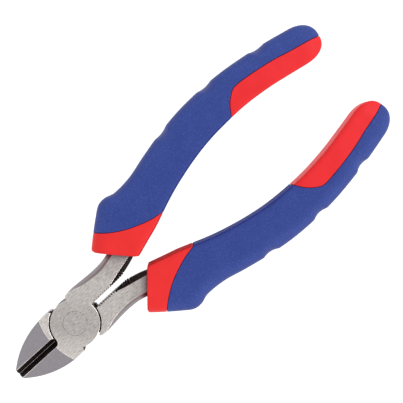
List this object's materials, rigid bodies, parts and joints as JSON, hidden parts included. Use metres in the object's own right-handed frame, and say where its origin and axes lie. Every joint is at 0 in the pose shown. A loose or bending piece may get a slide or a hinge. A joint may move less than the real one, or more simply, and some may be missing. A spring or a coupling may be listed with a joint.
{
  "type": "diagonal cutting pliers",
  "caption": "Diagonal cutting pliers with a flush lap joint, bevelled jaws, serrated slot and two-colour moulded grips.",
  "frame": {"origin": "centre of the pivot rivet's flush back end face, on the pivot axis", "axes": "+Z along the pivot axis towards the front face, +Y from the pivot to the nose of the closed jaws, +X towards the handle of the front lever"},
  "size_m": [0.0608, 0.1581, 0.015],
  "materials": {
    "satin_steel": "satin ground, fine lines along the tool",
    "rivet_steel": "satin, ground flush with the head",
    "red_hard_plastic": "smooth, semi-gloss",
    "blue_soft_rubber": "matte, fine grain"
  },
  "bodies": {
    "front_half": {"lever_front": "satin_steel", "pivot_rivet": "rivet_steel", "grip_core_front": "red_hard_plastic", "grip_overmould_front": "blue_soft_rubber"},
    "back_half": {"lever_back": "satin_steel", "grip_core_back": "red_hard_plastic", "grip_overmould_back": "blue_soft_rubber"}
  },
  "joints": [
    {"name": "pivot", "type": "hinge", "parent": "front_half", "child": "back_half", "pos_m": [0, 0, 0.005], "axis": [0, 0, -1], "range_deg": [0, 32]}
  ]
}
